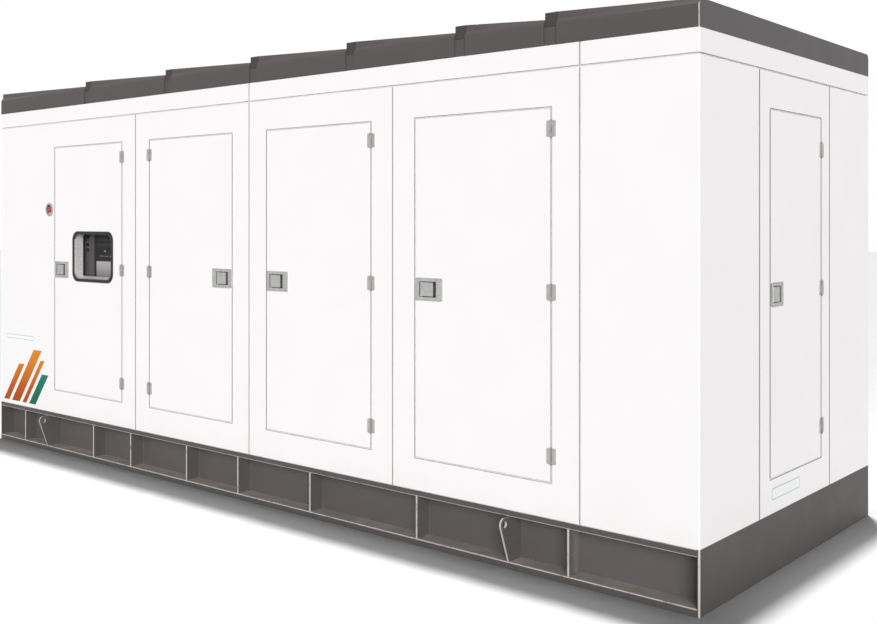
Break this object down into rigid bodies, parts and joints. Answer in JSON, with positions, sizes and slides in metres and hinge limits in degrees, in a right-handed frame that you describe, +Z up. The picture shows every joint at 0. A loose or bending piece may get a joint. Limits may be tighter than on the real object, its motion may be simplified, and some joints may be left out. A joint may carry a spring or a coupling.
{
  "type": "silenced generator set",
  "caption": "Long white canopied generator set with flush doors along its side and end, a charcoal roof edge and a channel base with lifting lugs.",
  "frame": {"origin": "centre of the footprint, on the ground", "axes": "+X along the length to the end with the end door, -Y to the side with the control door, +Z up"},
  "size_m": [6.471, 2.442, 2.92],
  "materials": {
    "frame_paint": "satin charcoal paint",
    "wall_paint": "white powder coat",
    "light_metal": "satin grey metal",
    "gasket": "black rubber",
    "pane": "clear glass",
    "cabinet_paint": "grey paint",
    "instrument": "dark moulding",
    "collar": "grey moulding",
    "button": "red moulding"
  },
  "bodies": {
    "enclosure": {"front_rail": "frame_paint", "rear_rail": "frame_paint", "end_beams": "frame_paint", "cross_members": "frame_paint", "deck": "frame_paint", "lifting_lugs": "frame_paint", "front_posts": "wall_paint", "front_headers": "wall_paint", "front_sills": "wall_paint", "rear_posts": "wall_paint", "rear_headers": "wall_paint", "rear_sills": "wall_paint", "end_posts": "wall_paint", "end_headers": "wall_paint", "end_sills": "wall_paint", "side_bands": "wall_paint", "end_bands": "wall_paint", "side_fascias": "frame_paint", "end_fascias": "frame_paint", "roof_sections": "frame_paint", "roof_joints": "frame_paint", "hinge_leaves": "light_metal", "fixed_doors": "wall_paint", "fixed_door_hardware": "light_metal", "control_cabinet": "cabinet_paint", "instrument_panel": "instrument", "emergency_stop_collar": "collar"},
    "control_door": {"control_door": "wall_paint", "control_door_hardware": "light_metal", "window_gasket": "gasket", "window_pane": "pane", "window_lining": "light_metal"},
    "service_door_1": {"service_door_1": "wall_paint", "service_door_1_hardware": "light_metal"},
    "service_door_2": {"service_door_2": "wall_paint", "service_door_2_hardware": "light_metal"},
    "service_door_3": {"service_door_3": "wall_paint", "service_door_3_hardware": "light_metal"},
    "end_door": {"end_door": "wall_paint", "end_door_hardware": "light_metal"},
    "control_door_paddle": {"control_door_paddle": "light_metal"},
    "service_door_1_paddle": {"service_door_1_paddle": "light_metal"},
    "service_door_2_paddle": {"service_door_2_paddle": "light_metal"},
    "service_door_3_paddle": {"service_door_3_paddle": "light_metal"},
    "end_door_paddle": {"end_door_paddle": "light_metal"},
    "emergency_stop_button": {"emergency_stop_button": "button"}
  },
  "joints": [
    {"name": "control_door_hinge", "type": "hinge", "parent": "enclosure", "child": "control_door", "pos_m": [-1.4365, -1.1555, 1.463], "axis": [0, 0, 1], "range_deg": [0, 95]},
    {"name": "service_door_1_hinge", "type": "hinge", "parent": "enclosure", "child": "service_door_1", "pos_m": [-1.0915, -1.1555, 1.463], "axis": [0, 0, -1], "range_deg": [0, 95]},
    {"name": "service_door_2_hinge", "type": "hinge", "parent": "enclosure", "child": "service_door_2", "pos_m": [1.1195, -1.1555, 1.463], "axis": [0, 0, 1], "range_deg": [0, 95]},
    {"name": "service_door_3_hinge", "type": "hinge", "parent": "enclosure", "child": "service_door_3", "pos_m": [2.3975, -1.1555, 1.463], "axis": [0, 0, 1], "range_deg": [0, 95]},
    {"name": "end_door_hinge", "type": "hinge", "parent": "enclosure", "child": "end_door", "pos_m": [3.2305, 0.354, 1.463], "axis": [0, 0, 1], "range_deg": [0, 95]},
    {"name": "control_door_paddle_pivot", "type": "hinge", "parent": "control_door", "child": "control_door_paddle", "pos_m": [-2.322, -1.152, 1.459], "axis": [0, 0, -1], "range_deg": [0, 40], "stiffness_Nm_per_rad": 0.5},
    {"name": "service_door_1_paddle_pivot", "type": "hinge", "parent": "service_door_1", "child": "service_door_1_paddle", "pos_m": [-0.31, -1.152, 1.459], "axis": [0, 0, -1], "range_deg": [0, 40], "stiffness_Nm_per_rad": 0.5},
    {"name": "service_door_2_paddle_pivot", "type": "hinge", "parent": "service_door_2", "child": "service_door_2_paddle", "pos_m": [0.234, -1.152, 1.459], "axis": [0, 0, -1], "range_deg": [0, 40], "stiffness_Nm_per_rad": 0.5},
    {"name": "service_door_3_paddle_pivot", "type": "hinge", "parent": "service_door_3", "child": "service_door_3_paddle", "pos_m": [1.512, -1.152, 1.459], "axis": [0, 0, -1], "range_deg": [0, 40], "stiffness_Nm_per_rad": 0.5},
    {"name": "end_door_paddle_pivot", "type": "hinge", "parent": "end_door", "child": "end_door_paddle", "pos_m": [3.227, -0.3205, 1.459], "axis": [0, 0, -1], "range_deg": [0, 40], "stiffness_Nm_per_rad": 0.5},
    {"name": "emergency_stop_push", "type": "slide", "parent": "enclosure", "child": "emergency_stop_button", "axis": [0, 1, 0], "range_m": [0, 0.005]}
  ]
}
